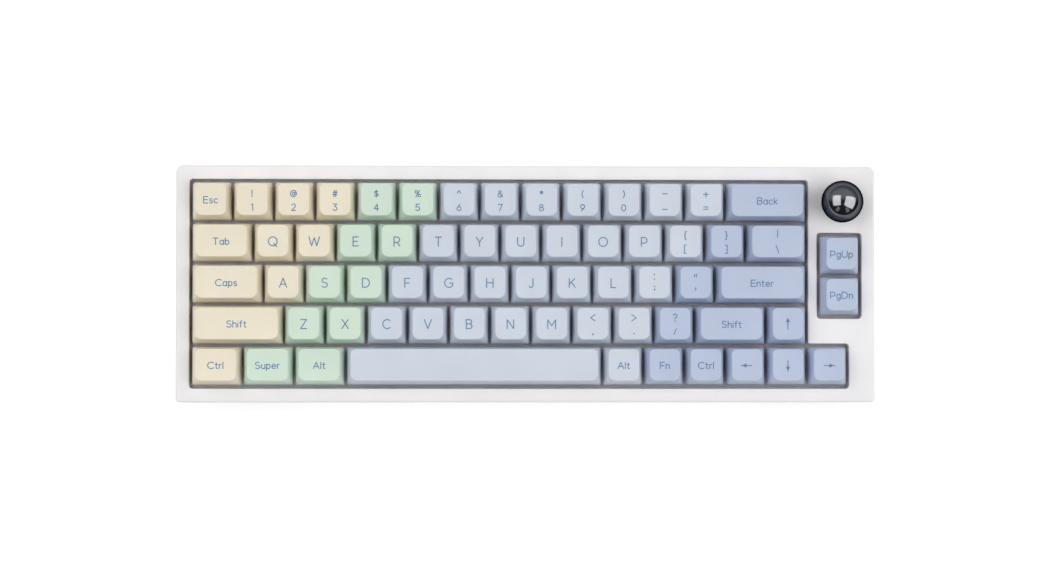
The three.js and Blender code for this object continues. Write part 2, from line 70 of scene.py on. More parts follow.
# -------- dimensions, in millimetres
PITCH = 19.05
CAP_GAP = (0.85, 1.2)  # between neighbouring skirts, along x and y
STEM_BOTTOM = 1.0  # above the switch plate
SKIRT = 6.3
DRAFT = {"side": 1.95, "front": 2.1, "rear": 0.95}
CAP_WALL = 1.4
CAP_ROOF = 1.7
STEM = 4.6
STEM_CORNER = 0.5
CORNER = {"skirt": 1.1, "top": 3.2, "rear": 2.3}
CORNER_LOSS = 0.4  # how much of the edge's inset its corners lose
INSIDE = {"corner": 0.6, "lean": 0.85}  # a cap's hollow: its corners, and its walls' lean at the top
EDGE = 0.42  # the rounding between a cap's walls and its top
SKIRT_EDGE = 0.1
WALL_STEPS = (0.0, 0.02, 0.25, 0.5, 0.75, 0.9)  # the walls' loops, as shares of their height
LEAN = (0.8, 1.2)  # how fast the walls lean in, below and above the middle
TOP_STEPS = (0.93, 0.84, 0.74, 0.63, 0.52, 0.41, 0.3, 0.19, 0.08)  # the top's loops, as shares of its outline
DISH = 0.45
DISH_EDGE = 2.0  # where a wide cap's dish ends, from its front and rear
BARREL = 0.5  # how far the space bar's top falls at its front and rear
WIDE = 1.2  # in units; a wider cap is dished from front to rear
CAP_SPAN = 1.6  # the longest step along a cap's straight sides
CORNER_STEPS = 6
ROWS = [(10.2, 5.0), (9.5, 2.5), (9.2, 0.0), (9.4, -3.0), (9.4, -3.0)]  # height and tilt
PEN = 0.43  # the width of a legend's strokes
INK = 0.05  # how far the legends stand proud
STROKE_SPAN = 0.6
MITRE = 0.6  # the least cosine that a stroke's corner is widened by
NEAR = 0.02  # points closer than this are one point
DOT = 0.55  # the length of the strokes a full stop is made of, on a six-unit letter
RIM = 8.0
SLAB = 2.5
COLLAR = (1.5, 1.0)  # the openings' collars: thickness, and the height of their lower edge
SEAM = -3.5
SEAM_GAP = 0.3
SEAM_EDGE = 0.25
CASE_WALL = 2.2
OPENING_MARGIN = 0.93
OPENING_RADIUS = 1.6
INNER_RADIUS = 0.6  # the inward corner of the L
LEAST_INNER = 0.3
FRONT_RADIUS = 2.0
REAR_RADIUS = 3.2
LEAST_RADIUS = 0.6
CASE_EDGE = 0.9
SHAFT_HOLE = (3.8, 0.3)  # its radius, and its edge's rounding
SKIN = 0.01  # keeps the shells inside the CAD's outline
OPENING_EDGE = 0.45
STRIP = 4.1  # between the main opening and the page keys' opening
CASE_SIDE = 6.2  # from the case's side to the opening
MAIN_UNITS = (15, 16)  # the widths of the upper four rows and the first
PAGE_SPLIT = 2.29  # in units, from the keys' rear line to the line between PgUp and PgDn
CASE_DEPTH = 110.0
CASE_BOTTOM = 2.0
CASE_FLOOR = 2.4

# -------- the deck frame, from the CAD
joints = {j["name"]: j for j in frame["joints"]}
press = Vector(joints["press_esc"]["axis"]).normalized()
up = -press
typing_angle = math.atan2(-up.y, up.z)
TURN = Matrix.Rotation(typing_angle, 4, "X")


def turned_box(node):
    """The node's lowest and highest corners, measured along the deck's axes."""
    o = frame["nodes"][node]
    back = TURN.inverted() @ o.matrix_world
    points = [back @ v.co for v in o.data.vertices]
    low = Vector([min(p[i] for p in points) for i in range(3)])
    high = Vector([max(p[i] for p in points) for i in range(3)])
    return low, high


esc_low, _ = turned_box("key_esc")
case_low, case_high = turned_box("upper_case")
plate_top = esc_low.z - STEM_BOTTOM * MM
DECK = TURN @ Matrix.Translation((0, (case_low.y + case_high.y) / 2, plate_top))
DESK = DECK.inverted()
half_width = (case_high.x - case_low.x) / 2 / MM
half_depth = CASE_DEPTH / 2
grid_left = -half_width + CASE_SIDE + OPENING_MARGIN
grid_rear = len(ROWS) / 2 * PITCH
column_x = grid_left + (MAIN_UNITS[0] + 0.5) * PITCH + 2 * OPENING_MARGIN + STRIP
page_split = grid_rear - PAGE_SPLIT * PITCH
knob_y = grid_rear - PITCH / 2


def desk_height(x, y, z=0.0):
    """The deck-frame z of the point on the level plane at z above the desk, under deck (x, y)."""
    normal = DESK.to_3x3() @ Vector((0, 0, 1))
    origin = DESK @ Vector((0, 0, z * MM))
    return (origin.z - (normal.x * (x * MM - origin.x) + normal.y * (y * MM - origin.y)) / normal.z) / MM


# -------- mesh helpers
def new_object(name, bm, material, smooth=40.0, place=DECK):
    """A mesh object made from a bmesh in millimetres, carried from its own frame into the world."""
    bmesh.ops.recalc_face_normals(bm, faces=bm.faces)
    bm.transform(place @ Matrix.Scale(MM, 4))
    mesh = bpy.data.meshes.new(name)
    bm.to_mesh(mesh)
    bm.free()
    obj = bpy.data.objects.new(name, mesh)
    bpy.context.scene.collection.objects.link(obj)
    mesh.materials.append(material)
    mesh.shade_smooth()
    mesh.set_sharp_from_angle(angle=math.radians(smooth))
    return obj


def rounded(points, radii, segments=8):
    """A closed outline with its corners rounded by true arcs."""
    count = len(points)
    radii = radii if isinstance(radii, (list, tuple)) else [radii] * count
    outline = []
    for i, point in enumerate(points):
        corner = Vector(point)
        before = (Vector(points[i - 1]) - corner).normalized()
        after = (Vector(points[(i + 1) % count]) - corner).normalized()
        start = corner + before * radii[i]
        centre = start + after * radii[i]
        for k in range(segments + 1):
            t = k / segments * math.pi / 2
            outline.append(centre - after * radii[i] * math.cos(t) - before * radii[i] * math.sin(t))
    return outline


def rectangle(x0, y0, x1, y1):
    return [(x0, y0), (x1, y0), (x1, y1), (x0, y1)]


def circle(x, y, radius, segments=48):
    turns = [i * (2 * math.pi / segments) for i in range(segments)]
    return [Vector((x + radius * math.cos(t), y + radius * math.sin(t))) for t in turns]


def ring(bm, outline, height):
    """One loop of vertices; height is a number or a function of x and y."""
    level = height if callable(height) else lambda x, y: height
    return [bm.verts.new((p.x, p.y, level(p.x, p.y))) for p in outline]


def band(bm, lower, upper):
    count = len(lower)
    for i in range(count):
        j = (i + 1) % count
        bm.faces.new((lower[i], lower[j], upper[j], upper[i]))


def stack(bm, rings):
    """Joins a list of loops, each to the next, and gives the first and last back."""
    for a, b in zip(rings, rings[1:]):
        band(bm, a, b)
    return rings[0], rings[-1]


def close(bm, rings):
    """The same, with a face over each end."""
    for loop in stack(bm, rings):
        bm.faces.new(loop)


def fill(bm, loops):
    """A flat face between an outer loop and the holes in it."""
    edges = []
    for loop in loops:
        for i, v in enumerate(loop):
            other = loop[(i + 1) % len(loop)]
            edges.append(bm.edges.get((v, other)) or bm.edges.new((v, other)))
    bmesh.ops.triangle_fill(bm, edges=edges, use_beauty=True, use_dissolve=False)


def fillet(radius, steps=4):
    """Pairs of (inset, drop) round a quarter circle, from the wall to the flat."""
    turns = [i / steps * math.pi / 2 for i in range(steps + 1)]
    return [(radius * (1 - math.cos(t)), radius * (1 - math.sin(t))) for t in turns]


def cut(obj, cutters, operation="DIFFERENCE"):
    """Applies boolean cuts to obj and removes the cutters."""
    for cutter in cutters:
        modifier = obj.modifiers.new("cut", "BOOLEAN")
        modifier.operation = operation
        modifier.solver = "EXACT"
        modifier.object = cutter
    graph = bpy.context.evaluated_depsgraph_get()
    mesh = bpy.data.meshes.new_from_object(obj.evaluated_get(graph))
    obj.modifiers.clear()
    obj.data = mesh
    for cutter in cutters:
        bpy.data.objects.remove(cutter)


# -------- materials
NOISE_RANGE = (0.3, 0.7)  # where nearly all of the noise lies
COLOUR_SCALE = {"plastic": 60.0, "metal": 300.0}  # the scales of noise are in cycles a metre
GLOSS_SCALE = {"plastic": 400.0, "metal": 900.0}
KNOB_FADE = (0.15, 0.31)  # where the knob's mirror starts and ends its fade, on the facing scale


def principled(name, colour, roughness, metallic=0.0):
    material = bpy.data.materials.new(name)
    material.use_nodes = True
    shader = material.node_tree.nodes["Principled BSDF"]
    shader.inputs["Base Color"].default_value = (*colour, 1)
    shader.inputs["Roughness"].default_value = roughness
    shader.inputs["Metallic"].default_value = metallic
    return material, material.node_tree, shader


def noise(tree, scale, detail=3.0):
    """Noise in the object's own space; scale is in cycles a metre."""
    place = tree.nodes.new("ShaderNodeTexCoord")
    texture = tree.nodes.new("ShaderNodeTexNoise")
    texture.inputs["Scale"].default_value = scale
    texture.inputs["Detail"].default_value = detail
    tree.links.new(place.outputs["Object"], texture.inputs["Vector"])
    return texture.outputs["Fac"]


def carry(tree, value, source, target, step="LINEAR"):
    """Carries a value from the source range to the target range."""
    node = tree.nodes.new("ShaderNodeMapRange")
    node.interpolation_type = step
    for socket, number in zip(("From Min", "From Max", "To Min", "To Max"), (*source, *target)):
        node.inputs[socket].default_value = number
    tree.links.new(value, node.inputs["Value"])
    return node.outputs["Result"]


def tint(tree, shader, colour, amount, scale):
    """A faint drift of the base colour between lighter and darker."""
    mix = tree.nodes.new("ShaderNodeMix")
    mix.data_type = "RGBA"
    mix.inputs["A"].default_value = (*[c * (1 - amount) for c in colour], 1)
    mix.inputs["B"].default_value = (*[min(c * (1 + amount), 1) for c in colour], 1)
    tree.links.new(carry(tree, noise(tree, scale), NOISE_RANGE, (0, 1)), mix.inputs["Factor"])
    tree.links.new(mix.outputs["Result"], shader.inputs["Base Color"])


def bump(tree, shader, scale, distance, strength=0.5):
    node = tree.nodes.new("ShaderNodeBump")
    node.inputs["Strength"].default_value = strength
    node.inputs["Distance"].default_value = distance
    tree.links.new(noise(tree, scale, 4.0), node.inputs["Height"])
    tree.links.new(node.outputs["Normal"], shader.inputs["Normal"])


def plastic(name, colour, roughness=0.5, grain=6000.0, depth=0.00002, drift=0.02):
    """Moulded plastic: a fine pebbled grain, uneven gloss and a faint drift of colour."""
    material, tree, shader = principled(name, colour, roughness)
    tint(tree, shader, colour, drift, COLOUR_SCALE["plastic"])
    bump(tree, shader, grain, depth)
    gloss = noise(tree, GLOSS_SCALE["plastic"])
    gloss = carry(tree, gloss, NOISE_RANGE, (roughness - 0.06, roughness + 0.06))
    tree.links.new(gloss, shader.inputs["Roughness"])
    return material


def metal(name, colour, roughness, grain=3000.0):
    """Plated metal: a very fine grain and an uneven gloss."""
    material, tree, shader = principled(name, colour, roughness, metallic=1.0)
    tint(tree, shader, colour, 0.05, COLOUR_SCALE["metal"])
    bump(tree, shader, grain, 0.000004, 0.3)
    gloss = noise(tree, GLOSS_SCALE["metal"])
    gloss = carry(tree, gloss, NOISE_RANGE, (roughness * 0.8, roughness * 1.3))
    tree.links.new(gloss, shader.inputs["Roughness"])
    return material


def black_chrome(name, colour, edge, roughness):
    """Dark plating, whose mirror fades as it turns away."""
    material = metal(name, colour, roughness, grain=1200.0)
    tree = material.node_tree
    shader = tree.nodes["Principled BSDF"]
    shader.inputs["Specular Tint"].default_value = (0.15, 0.15, 0.17, 1)
    facing = tree.nodes.new("ShaderNodeLayerWeight")
    facing.inputs["Blend"].default_value = 0.5
    mix = tree.nodes.new("ShaderNodeMix")
    mix.data_type = "RGBA"
    mix.inputs["B"].default_value = (*edge, 1)
    tree.links.new(shader.inputs["Base Color"].links[0].from_socket, mix.inputs["A"])
    fade = carry(tree, facing.outputs["Facing"], KNOB_FADE, (0, 1), "SMOOTHSTEP")
    tree.links.new(fade, mix.inputs["Factor"])
    tree.links.new(mix.outputs["Result"], shader.inputs["Base Color"])
    return material


def srgb(code):
    """Linear colour from a hexadecimal sRGB one."""
    channels = [int(code[i : i + 2], 16) / 255 for i in (0, 2, 4)]
    return tuple(c / 12.92 if c < 0.04045 else ((c + 0.055) / 1.055) ** 2.4 for c in channels)


CAP_MATERIALS = {
    "cream": plastic("cap_cream", srgb("EAE1CB"), 0.52),
    "mint": plastic("cap_mint", srgb("CFE1D1"), 0.52),
    "pale": plastic("cap_pale", srgb("CBD3DF"), 0.52),
    "blue": plastic("cap_blue", srgb("B6C1D8"), 0.52),
}
INK_MATERIAL = plastic("legend_ink", srgb("587CA3"), 0.5, drift=0.06)
CASE_MATERIAL = plastic("case_white", srgb("ECEAEB"), 0.42, grain=4500.0)
PLATE_MATERIAL = plastic("plate_white", srgb("ECE8ED"), 0.45)
BOARD_MATERIAL = plastic("board_lacquer", srgb("16241E"), 0.3)
BLACK_MATERIAL = plastic("black_plastic", srgb("1C1C1E"), 0.5)
RUBBER_MATERIAL = plastic("foot_rubber", srgb("2A2A2B"), 0.8, grain=2500.0, depth=0.00004)
STEEL_MATERIAL = metal("bright_steel", (0.55, 0.56, 0.58), 0.28)
KNOB_MATERIAL = black_chrome("knob_metal", (0.25, 0.26, 0.28), (0.1, 0.105, 0.117), 0.1)

# -------- legends, in a monoline hand
def dot(x, y):
    """A full stop: two short strokes across each other, which merge into a round spot."""
    half = DOT / 2
    return [[(x - half, y), (x + half, y)], [(x, y - half), (x, y + half)]]


# Each sign's width and its strokes, with y = 0 on the baseline and y = 6 at the top of a capital. A stroke is
# a list of points; (x, y, rx, ry, from, to) adds an arc of an ellipse, its angles in degrees.
ROUND = (2.9, 3, 2.9, 3, 90, 450)
BOWL = (1.5, 2.0, 1.5, 2.0, 90, 450)
ARCH = [(0, 2.6), (1.35, 2.65, 1.35, 1.35, 180, 0), (2.7, 0)]
GLYPHS = {
    "A": (4.8, [[(0, 0), (2.4, 6), (4.8, 0)], [(0.85, 2.0), (3.95, 2.0)]]),
    "B": (3.8, [
        [
            (0, 3.2), (2.1, 3.2), (2.1, 4.6, 1.4, 1.4, -90, 90), (0, 6),
            (0, 0), (2.2, 0), (2.2, 1.6, 1.6, 1.6, -90, 90),
        ],
    ]),
    "C": (4.8, [[(2.9, 3, 2.9, 3, 50, 310)]]),
    "D": (4.6, [[(0, 0), (0, 6), (1.7, 6), (1.7, 3, 2.9, 3, 90, -90), (0, 0)]]),
    "E": (3.4, [[(3.4, 6), (0, 6), (0, 0), (3.4, 0)], [(0, 3.1), (3.0, 3.1)]]),
    "F": (3.3, [[(3.3, 6), (0, 6), (0, 0)], [(0, 2.9), (2.9, 2.9)]]),
    "G": (5.2, [[(2.9, 3, 2.9, 3, 50, 330), (5.4, 2.9), (3.3, 2.9)]]),
    "H": (4.3, [[(0, 0), (0, 6)], [(4.3, 0), (4.3, 6)], [(0, 3.1), (4.3, 3.1)]]),
    "I": (0.1, [[(0, 0), (0, 6)]]),
    "J": (2.6, [[(2.6, 6), (2.6, 1.5), (1.2, 1.5, 1.4, 1.5, 0, -150)]]),
    "K": (4.0, [[(0, 0), (0, 6)], [(3.7, 6), (0, 2.2)], [(1.5, 3.7), (4.0, 0)]]),
    "L": (3.1, [[(0, 6), (0, 0), (3.1, 0)]]),
    "M": (5.2, [[(0, 0), (0, 6), (2.6, 2.0), (5.2, 6), (5.2, 0)]]),
    "N": (4.4, [[(0, 0), (0, 6), (4.4, 0), (4.4, 6)]]),
    "O": (5.8, [[ROUND]]),
    "P": (3.8, [[(0, 0), (0, 6), (1.9, 6), (1.9, 4.1, 1.9, 1.9, 90, -90), (0, 2.2)]]),
    "Q": (5.8, [[ROUND], [(3.5, 1.6), (5.6, -0.6)]]),
    "R": (3.9, [[(0, 0), (0, 6), (1.9, 6), (1.9, 4.2, 1.8, 1.8, 90, -90), (0, 2.4)], [(2.1, 2.4), (3.9, 0)]]),
    "S": (3.8, [[(1.95, 4.55, 1.7, 1.45, 35, 270), (1.9, 1.55, 1.9, 1.55, 90, -145)]]),
    "T": (4.2, [[(0, 6), (4.2, 6)], [(2.1, 6), (2.1, 0)]]),
    "U": (4.2, [[(0, 6), (0, 2.1), (2.1, 2.1, 2.1, 2.1, 180, 360), (4.2, 6)]]),
    "V": (4.8, [[(0, 6), (2.4, 0), (4.8, 6)]]),
    "W": (7.0, [[(0, 6), (1.8, 0), (3.5, 5.6), (5.2, 0), (7.0, 6)]]),
    "X": (4.4, [[(0, 0), (4.2, 6)], [(0.2, 6), (4.4, 0)]]),
    "Y": (4.4, [[(0, 6), (2.2, 2.7), (4.4, 6)], [(2.2, 2.7), (2.2, 0)]]),
    "Z": (4.0, [[(0.1, 6), (3.9, 6), (0, 0), (4.0, 0)]]),
    "a": (3.0, [[BOWL], [(3.0, 4.0), (3.0, 0)]]),
    "b": (3.0, [[(0, 6), (0, 0)], [BOWL]]),
    "c": (2.7, [[(1.6, 2.0, 1.6, 2.0, 50, 310)]]),
    "e": (3.1, [[(0.05, 2.05), (3.1, 2.05), (1.6, 2.0, 1.55, 2.0, 0, 310)]]),
    "f": (1.9, [[(1.9, 6.0), (1.7, 5.0, 0.9, 1.0, 90, 180), (0.8, 0)], [(0, 4.0), (1.8, 4.0)]]),
    "g": (3.0, [[BOWL], [(3.0, 4.0), (3.0, -0.4), (1.5, -0.4, 1.5, 1.4, 0, -150)]]),
    "h": (2.7, [[(0, 6), (0, 0)], ARCH]),
    "i": (0.1, [[(0, 4.0), (0, 0)], [(0, 5.5), (0, 5.7)]]),
    "k": (2.6, [[(0, 6), (0, 0)], [(2.4, 4.0), (0, 1.6)], [(0.9, 2.4), (2.6, 0)]]),
    "l": (0.1, [[(0, 6), (0, 0)]]),
    "n": (2.7, [[(0, 4.0), (0, 0)], ARCH]),
    "p": (3.0, [[(0, 4.0), (0, -1.8)], [BOWL]]),
    "r": (1.6, [[(0, 4.0), (0, 0)], [(0, 2.5), (1.3, 2.6, 1.3, 1.4, 180, 80)]]),
    "s": (2.4, [[(1.2, 3.0, 1.1, 1.0, 30, 270), (1.2, 1.0, 1.2, 1.0, 90, -150)]]),
    "t": (1.9, [
        [(0.8, 5.4), (0.8, 1.0), (1.7, 1.0, 0.9, 1.0, 180, 270), (1.9, 0.05)],
        [(0, 4.0), (1.8, 4.0)],
    ]),
    "u": (2.7, [
        [(0, 4.0), (0, 1.35), (1.35, 1.35, 1.35, 1.35, 180, 360), (2.7, 4.0)],
        [(2.7, 1.4), (2.7, 0)],
    ]),
    "0": (3.8, [[(1.9, 3, 1.9, 3, 90, 450)]]),
    "1": (1.2, [[(0, 5.2), (1.2, 6), (1.2, 0)]]),
    "2": (3.7, [[(1.8, 4.3, 1.7, 1.7, 155, -35), (0, 0), (3.7, 0)]]),
    "3": (3.7, [[(0.2, 6), (3.4, 6), (1.6, 3.6), (1.8, 1.8, 1.9, 1.8, 90, -150)]]),
    "4": (4.2, [[(3.0, 0), (3.0, 6), (0, 1.7), (4.2, 1.7)]]),
    "5": (3.7, [[(3.4, 6), (0.6, 6), (0.3, 3.3), (1.7, 3.7), (1.8, 1.85, 1.9, 1.85, 80, -150)]]),
    "6": (3.8, [[(1.9, 1.9, 1.9, 1.9, 90, 450)], [(2.9, 6), (0.3, 2.9)]]),
    "7": (3.7, [[(0, 6), (3.7, 6), (1.2, 0)]]),
    "8": (3.8, [[(1.9, 4.6, 1.5, 1.4, -90, 270)], [(1.9, 1.6, 1.9, 1.6, 90, 450)]]),
    "9": (3.8, [[(1.9, 4.1, 1.9, 1.9, 90, 450)], [(3.5, 3.1), (0.9, 0)]]),
    "!": (0.1, [[(0, 6), (0, 1.9)], *dot(0, 0.2)]),
    "@": (5.6, [
        [(3.0, 2.7, 1.2, 1.3, 0, 360)],
        [(4.2, 4.0), (4.2, 2.2), (4.9, 2.2, 0.7, 0.8, 180, 360), (2.8, 2.8, 2.8, 3.0, 0, 300)],
    ]),
    "#": (4.2, [
        [(1.1, 0), (1.6, 6)],
        [(2.8, 0), (3.3, 6)],
        [(0.1, 2.0), (4.0, 2.0)],
        [(0.4, 4.1), (4.3, 4.1)],
    ]),
    "$": (3.6, [[(1.8, 4.2, 1.6, 1.1, 35, 270), (1.8, 1.9, 1.8, 1.2, 90, -145)], [(1.8, 6.2), (1.8, -0.2)]]),
    "%": (5.0, [[(1.1, 4.7, 1.1, 1.3, 0, 360)], [(4.0, 1.3, 1.1, 1.3, 0, 360)], [(0.8, 0), (4.3, 6)]]),
    "^": (3.2, [[(0, 3.6), (1.6, 6), (3.2, 3.6)]]),
    "&": (4.4, [
        [
            (4.4, 0), (1.3, 3.7), (1.9, 4.9, 1.1, 1.1, 220, -45),
            (1.7, 3.2), (1.7, 1.6, 1.7, 1.6, 110, 310), (4.2, 2.6),
        ],
    ]),
    "*": (3.2, [[(1.6, 3.0), (1.6, 6)], [(0.3, 3.75), (2.9, 5.25)], [(0.3, 5.25), (2.9, 3.75)]]),
    "(": (1.3, [[(3.4, 3, 3.4, 4.4, 130, 230)]]),
    ")": (1.3, [[(-2.1, 3, 3.4, 4.4, 50, -50)]]),
    "-": (4.4, [[(0, 3.5), (4.4, 3.5)]]),
    "_": (4.4, [[(0, 1.7), (4.4, 1.7)]]),
    "+": (4.4, [[(0, 2.9), (4.4, 2.9)], [(2.2, 0.7), (2.2, 5.1)]]),
    "=": (4.0, [[(0, 4.0), (4.0, 4.0)], [(0, 1.9), (4.0, 1.9)]]),
    "{": (2.1, [
        [(2.1, 6.9), (1.9, 5.9, 0.9, 1.0, 90, 180), (1.0, 3.9), (0.1, 3)],
        [(0.1, 3), (1.0, 2.1), (1.9, 0.1, 0.9, 1.0, 180, 270), (2.1, -0.9)],
    ]),
    "}": (2.1, [
        [(0, 6.9), (0.2, 5.9, 0.9, 1.0, 90, 0), (1.1, 3.9), (2.0, 3)],
        [(2.0, 3), (1.1, 2.1), (0.2, 0.1, 0.9, 1.0, 0, -90), (0, -0.9)],
    ]),
    "[": (1.6, [[(1.6, 6.9), (0, 6.9), (0, -0.9), (1.6, -0.9)]]),
    "]": (1.6, [[(0, 6.9), (1.6, 6.9), (1.6, -0.9), (0, -0.9)]]),
    "|": (0.1, [[(0, 1.6), (0, 8.4)]]),
    "\\": (2.6, [[(0, 6.5), (2.6, -0.5)]]),
    ":": (0.1, [*dot(0, 0.7), *dot(0, 5.1)]),
    ";": (0.5, [*dot(0.5, 6.7), *dot(0.5, 3.9), [(0.6, 3.8), (0.1, 2.7)]]),
    '"': (2.3, [[(0.5, 5.3), (0, 2.8)], [(2.3, 5.3), (1.8, 2.8)]]),
    "'": (0.5, [[(0.5, 5.4), (0, 3.1)], [(0.7, 5.3), (0.3, 3.9)]]),
    "<": (4.2, [[(4.2, 6.0), (0, 3), (4.2, 0)]]),
    ">": (4.2, [[(0, 6.0), (4.2, 3), (0, 0)]]),
    ",": (0.4, [*dot(0.4, 0.8), [(0.5, 0.7), (0, -0.5)]]),
    ".": (0.1, [*dot(0, 1.0)]),
    "?": (3.6, [[(1.8, 4.8, 1.8, 1.8, 160, -60), (1.8, 2.7), (1.8, 1.8)], *dot(1.8, 0)]),
    "/": (2.2, [[(0, 0.2), (2.2, 5.8)]]),
}
CAPITAL = 6
LETTER_GAP = 1.4
ARC_STEP = 15  # degrees
LETTER = {"height": 4.15, "y": 0.3, "pen": 0.47}
SIGN = {"height": 2.95, "upper": 3.3, "lower": -3.0}
WORD = {"height": 2.95, "y": 0.3, "stretch": 1.14}
ARROW = {"shaft": (-2.2, 2.7), "back": 0.4, "tip": 1.8, "half": 0.7, "fill": (0.3, 0.4)}
# Each arrow's turn, and how much further along its shaft the head is.
ARROWS = {"arrow_left": (180, 0.0), "arrow_right": (0, 0.0), "arrow_up": (90, 0.8), "arrow_down": (-90, 0.3)}


def stroke_points(stroke):
    """The points of a stroke, with its arcs worked out."""
    points = []
    for step in stroke:
        if len(step) == 2:
            points.append(Vector(step))
            continue
        x, y, rx, ry, start, end = step
        count = max(4, int(abs(end - start) / ARC_STEP))
        for k in range(count + 1):
            angle = math.radians(start + (end - start) * k / count)
            points.append(Vector((x + rx * math.cos(angle), y + ry * math.sin(angle))))
    return [p for i, p in enumerate(points) if i == 0 or (p - points[i - 1]).length > NEAR]


def text_strokes(text, height, x, y, stretch=1.0):
    """A line of text centred on (x, y), as lists of points in millimetres."""
    scale = height / CAPITAL
    wide = scale * stretch
    width = sum(GLYPHS[c][0] for c in text) + LETTER_GAP * (len(text) - 1)
    cursor = -width / 2
    strokes = []
    for c in text:
        advance, glyph = GLYPHS[c]
        for stroke in glyph:
            points = stroke_points(stroke)
            line = [(x + (cursor + p.x) * wide, y + (p.y - CAPITAL / 2) * scale) for p in points]
            strokes.append([Vector(p) for p in line])
        cursor += advance + LETTER_GAP
    return strokes


def arrow_strokes(angle, shift, x, y):
    """A thin arrow with a small head part of the way along its shaft."""
    turn = Matrix.Rotation(math.radians(angle), 2)
    shaft = [(end, 0) for end in ARROW["shaft"]]
    back, tip, half = shift + ARROW["back"], shift + ARROW["tip"], ARROW["half"]
    head = [(back, half), (tip, 0), (back, -half), (back, half)]
    in_head, reach = ARROW["fill"]
    middle = [(back + in_head, reach), (back + in_head, -reach)]
    centre = Vector((x, y))
    return [[centre + turn @ Vector(p) for p in line] for line in (shaft, head, middle)]


def draw(bm, strokes, surface, pen=PEN):
    """Lays each stroke on the surface as a thin closed ribbon with round ends."""
    for points in strokes:
        points = densify(points, STROKE_SPAN)
        closed = (points[0] - points[-1]).length < NEAR
        left, right = [], []
        last = len(points) - 1
        for i, p in enumerate(points):
            if closed and i in (0, last):
                ahead = (points[1] - points[0]).normalized() + (points[-1] - points[-2]).normalized()
            else:
                ahead = Vector((0, 0))
                if i < last:
                    ahead += (points[i + 1] - p).normalized()
                if i > 0:
                    ahead += (p - points[i - 1]).normalized()
            ahead.normalize()
            side = Vector((-ahead.y, ahead.x)) * pen / 2
            sharp = 1.0
            if 0 < i < last:
                sharp = max(ahead.dot((points[i + 1] - p).normalized()), MITRE)
            left.append(p + side / sharp)
            right.append(p - side / sharp)
        if closed:
            slab_loop(bm, left, right, surface)
        else:
            start, end = (points[0] - points[1]).normalized(), (points[-1] - points[-2]).normalized()
            outline = right + round_end(points[-1], end, pen) + left[::-1] + round_end(points[0], start, pen)
            slab(bm, outline, left, right, surface)


def densify(points, longest):
    """The points of a line, with more put in so that no step is too long."""
    out = [points[0]]
    for a, b in zip(points, points[1:]):
        count = max(1, math.ceil((b - a).length / longest))
        out += [a.lerp(b, k / count) for k in range(1, count + 1)]
    return out


def round_end(p, ahead, pen, steps=5):
    """The points of a half circle past the end of a stroke, from its right side to its left."""
    side = Vector((ahead.y, -ahead.x))
    turns = [math.pi * k / steps for k in range(1, steps)]
    return [p + (side * math.cos(t) + ahead * math.sin(t)) * pen / 2 for t in turns]


def slab(bm, outline, left, right, surface):
    """A thin closed sheet whose outline is given, lying on the surface."""
    tops = {id(p): bm.verts.new((p.x, p.y, surface(p.x, p.y) + INK)) for p in outline}
    lows = {id(p): bm.verts.new((p.x, p.y, surface(p.x, p.y) - 2 * INK)) for p in outline}
    end = (len(outline) - len(left) - len(right)) // 2
    far_end = outline[len(right) - 1 : len(right) + end + 1]
    near_end = [left[0], *outline[-end:], right[0]]
    for verts in (tops, lows):
        for i in range(len(left) - 1):
            bm.faces.new([verts[id(q)] for q in (left[i], right[i], right[i + 1], left[i + 1])])
        bm.faces.new([verts[id(q)] for q in far_end])
        bm.faces.new([verts[id(q)] for q in near_end])
    for a, b in zip(outline, outline[1:] + outline[:1]):
        bm.faces.new((lows[id(a)], lows[id(b)], tops[id(b)], tops[id(a)]))


def slab_loop(bm, left, right, surface):
    """The same for a stroke that closes on itself."""
    rings = []
    for side, lift in ((left, INK), (right, INK), (right, -2 * INK), (left, -2 * INK)):
        rings.append([bm.verts.new((p.x, p.y, surface(p.x, p.y) + lift)) for p in side[:-1]])
    for a, b in zip(rings, rings[1:] + rings[:1]):
        band(bm, a, b)


# -------- keycaps
def cap_outline(width, depth, lean, corners, inset=0.0):
    """A cap's section where its walls have leant in by a share of their draft.

    Every section of one cap has the same number of points, whatever its lean and inset.
    """
    x = width / 2 - DRAFT["side"] * lean - inset
    y0 = -depth / 2 + DRAFT["front"] * lean + inset
    y1 = depth / 2 - DRAFT["rear"] * lean - inset
    front, rear = corners
    arcs = rounded(rectangle(-x, y0, x, y1), [front, front, rear, rear], CORNER_STEPS)
    size = CORNER_STEPS + 1
    outline = []
    for k in range(4):
        outline += arcs[k * size : (k + 1) * size]
        start, end = outline[-1], arcs[(k + 1) * size % len(arcs)]
        steps = math.ceil((depth if k % 2 else width) / CAP_SPAN)
        outline += [start.lerp(end, i / steps) for i in range(1, steps)]
    return outline


def cap_surface(width, height, tilt, barrel):
    """The height of a cap's top over (x, y): tilted, and dished, or barrelled on the space bar."""
    slope = math.tan(math.radians(tilt))
    reach = min(width / 2 - DRAFT["side"], PITCH / 2)

    def level(x, y):
        share = abs(x) / reach if width < WIDE * PITCH else abs(y) / (PITCH / 2 - DISH_EDGE)
        side = min(share, 1.0)
        bowl = -BARREL * (y / (PITCH / 2)) ** 2 if barrel else DISH * (side**2 - 1)
        return SKIRT + height + y * slope + bowl

    return level


